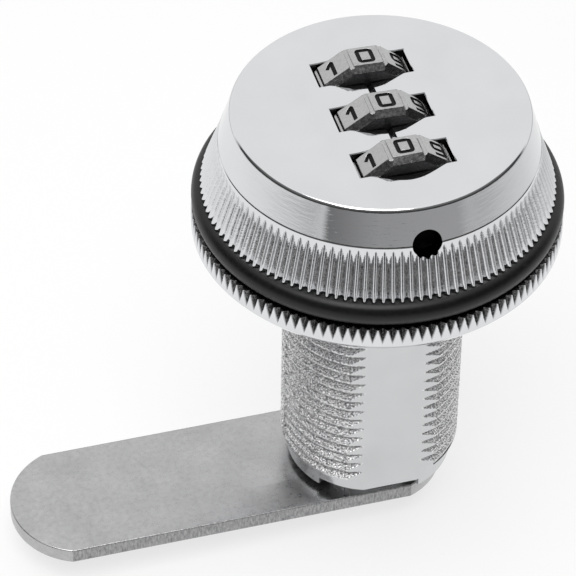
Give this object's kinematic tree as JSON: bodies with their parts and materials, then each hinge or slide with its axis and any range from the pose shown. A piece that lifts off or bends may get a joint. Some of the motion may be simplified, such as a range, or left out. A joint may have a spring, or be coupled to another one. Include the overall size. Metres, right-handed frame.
{
  "type": "combination locker lock",
  "caption": "Round locker-door knob lock with bevelled number wheels in the knob's face, a threaded barrel with flats, a knurled ring nut, a rubber sealing ring and a flat steel cam.",
  "frame": {"origin": "on the lock's axis, in the plane of the door panel's outer face, where the sealing ring rests", "axes": "+Z along the lock's axis, out of the door through the knob; the cam points along -X; the number wheels turn about an axle along Y and their digits are read from the -Y side"},
  "size_m": [0.0677, 0.044, 0.0623],
  "materials": {
    "chrome_cast": "polished",
    "knob_inside": "as cast",
    "wheel": "satin",
    "steel": "satin",
    "spring_steel": "satin",
    "brass": "machined",
    "barrel": "as cast",
    "nut": "polished",
    "rubber": "matt",
    "zinc_steel": "zinc-plated",
    "nylon": "matt"
  },
  "bodies": {
    "barrel": {"barrel": "barrel", "sealing_ring": "rubber", "thrust_washer": "nylon"},
    "nut": {"ring_nut": "nut"},
    "knob": {"knob_shell": "chrome_cast", "wheel_carrier": "knob_inside", "carrier_screws": "steel", "locking_bar": "steel", "locking_bar_spring": "spring_steel", "detent_spring": "spring_steel", "axle_spring": "spring_steel", "spindle_seal": "rubber", "stop_disc": "zinc_steel", "cam": "zinc_steel", "cam_washer": "zinc_steel", "cam_lock_washer": "spring_steel", "cam_screw": "zinc_steel"},
    "axle": {"wheel_axle": "steel"},
    "dial_1": {"number_wheel_1": "wheel"},
    "hub_1": {"code_hub_1": "brass"},
    "dial_2": {"number_wheel_2": "wheel"},
    "hub_2": {"code_hub_2": "brass"},
    "dial_3": {"number_wheel_3": "wheel"},
    "hub_3": {"code_hub_3": "brass"}
  },
  "joints": [
    {"name": "nut_slide", "type": "slide", "parent": "barrel", "child": "nut", "axis": [0, 0, -1], "range_m": [0, 0.03]},
    {"name": "knob_turn", "type": "hinge", "parent": "barrel", "child": "knob", "pos_m": [0, 0, 0], "axis": [0, 0, 1], "range_deg": [-90, 0]},
    {"name": "axle_push", "type": "slide", "parent": "knob", "child": "axle", "axis": [0, 1, 0], "range_m": [0, 0.0008], "stiffness_N_per_m": 1000, "springref_m": -0.002, "deforming": ["axle_spring"]},
    {"name": "dial_1_turn", "type": "hinge", "parent": "knob", "child": "dial_1", "pos_m": [0, 0.00766, 0.00967], "axis": [0, 1, 0], "continuous": true},
    {"name": "hub_1_turn", "type": "hinge", "parent": "axle", "child": "hub_1", "pos_m": [0, 0.00766, 0.00967], "axis": [0, 1, 0], "continuous": true},
    {"name": "dial_2_turn", "type": "hinge", "parent": "knob", "child": "dial_2", "pos_m": [0, -0.00062, 0.00967], "axis": [0, 1, 0], "continuous": true},
    {"name": "hub_2_turn", "type": "hinge", "parent": "axle", "child": "hub_2", "pos_m": [0, -0.00062, 0.00967], "axis": [0, 1, 0], "continuous": true},
    {"name": "dial_3_turn", "type": "hinge", "parent": "knob", "child": "dial_3", "pos_m": [0, -0.0089, 0.00967], "axis": [0, 1, 0], "continuous": true},
    {"name": "hub_3_turn", "type": "hinge", "parent": "axle", "child": "hub_3", "pos_m": [0, -0.0089, 0.00967], "axis": [0, 1, 0], "continuous": true}
  ],
  "couplings": [
    {"joint": "hub_1_turn", "follows": "dial_1_turn", "ratio": 1},
    {"joint": "hub_2_turn", "follows": "dial_2_turn", "ratio": 1},
    {"joint": "hub_3_turn", "follows": "dial_3_turn", "ratio": 1}
  ]
}
